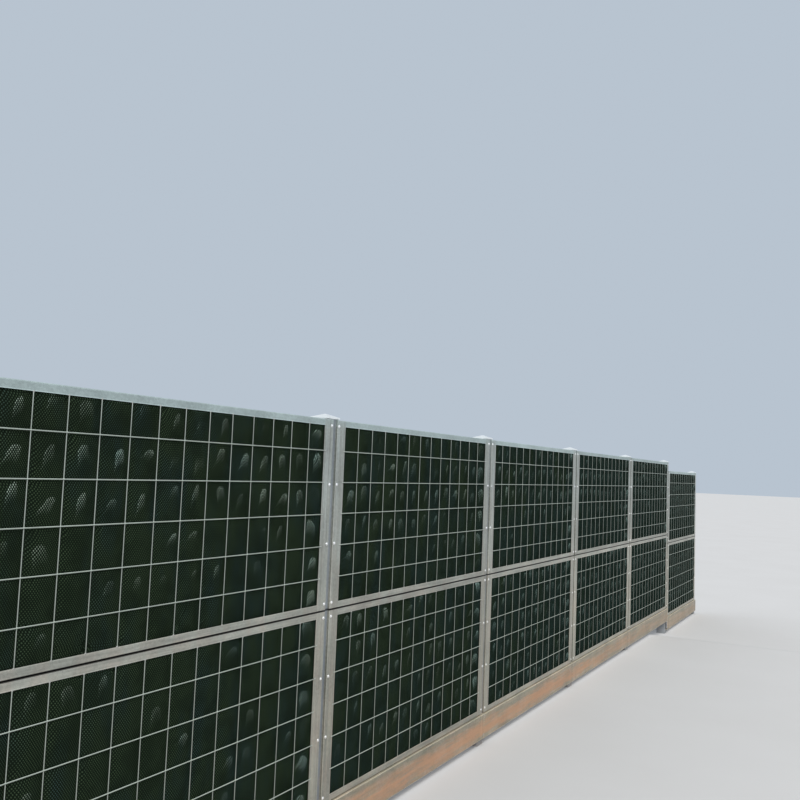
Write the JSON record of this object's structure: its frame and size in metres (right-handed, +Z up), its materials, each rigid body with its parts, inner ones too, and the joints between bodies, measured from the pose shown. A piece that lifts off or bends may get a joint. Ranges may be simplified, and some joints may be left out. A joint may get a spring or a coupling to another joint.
{
  "type": "noise barrier section",
  "caption": "Post and panel noise barrier in bays: netted wool cassettes in galvanised frames behind wire grids, with steel plinths and a step down in one bay.",
  "frame": {"origin": "centre of the underside of post_4, the middle post, at ground level", "axes": "+X along the barrier towards the bay that is stepped down, -Y towards the front with the flanges and plinths, +Z up"},
  "size_m": [11.864, 0.125, 2.144],
  "materials": {
    "galvanised_post": "dull hot-dip galvanised tube, weathered",
    "post_cap": "galvanised pressed cap, dull",
    "galvanised_frame": "galvanised folded sheet, matt and slightly dusty",
    "galvanised_wire": "pale galvanised round wire",
    "net_fabric": "dark green knitted net over mineral wool",
    "galvanised_plinth": "smooth galvanised sheet with ochre soil dust"
  },
  "bodies": {
    "root": {"post_1": "galvanised_post", "post_2": "galvanised_post", "post_3": "galvanised_post", "post_4": "galvanised_post", "post_5": "galvanised_post", "post_6": "galvanised_post", "post_7": "galvanised_post", "post_caps": "post_cap", "lower_frame_1": "galvanised_frame", "lower_core_1": "net_fabric", "upper_frame_1": "galvanised_frame", "upper_core_1": "net_fabric", "wire_grids_1": "galvanised_wire", "plinth_1": "galvanised_plinth", "lower_frame_2": "galvanised_frame", "lower_core_2": "net_fabric", "upper_frame_2": "galvanised_frame", "upper_core_2": "net_fabric", "wire_grids_2": "galvanised_wire", "plinth_2": "galvanised_plinth", "lower_frame_3": "galvanised_frame", "lower_core_3": "net_fabric", "upper_frame_3": "galvanised_frame", "upper_core_3": "net_fabric", "wire_grids_3": "galvanised_wire", "plinth_3": "galvanised_plinth", "lower_frame_4": "galvanised_frame", "lower_core_4": "net_fabric", "upper_frame_4": "galvanised_frame", "upper_core_4": "net_fabric", "wire_grids_4": "galvanised_wire", "plinth_4": "galvanised_plinth", "lower_frame_5": "galvanised_frame", "lower_core_5": "net_fabric", "upper_frame_5": "galvanised_frame", "upper_core_5": "net_fabric", "wire_grids_5": "galvanised_wire", "plinth_5": "galvanised_plinth", "lower_frame_6": "galvanised_frame", "lower_core_6": "net_fabric", "upper_frame_6": "galvanised_frame", "upper_core_6": "net_fabric", "wire_grids_6": "galvanised_wire", "plinth_6": "galvanised_plinth"}
  },
  "joints": []
}
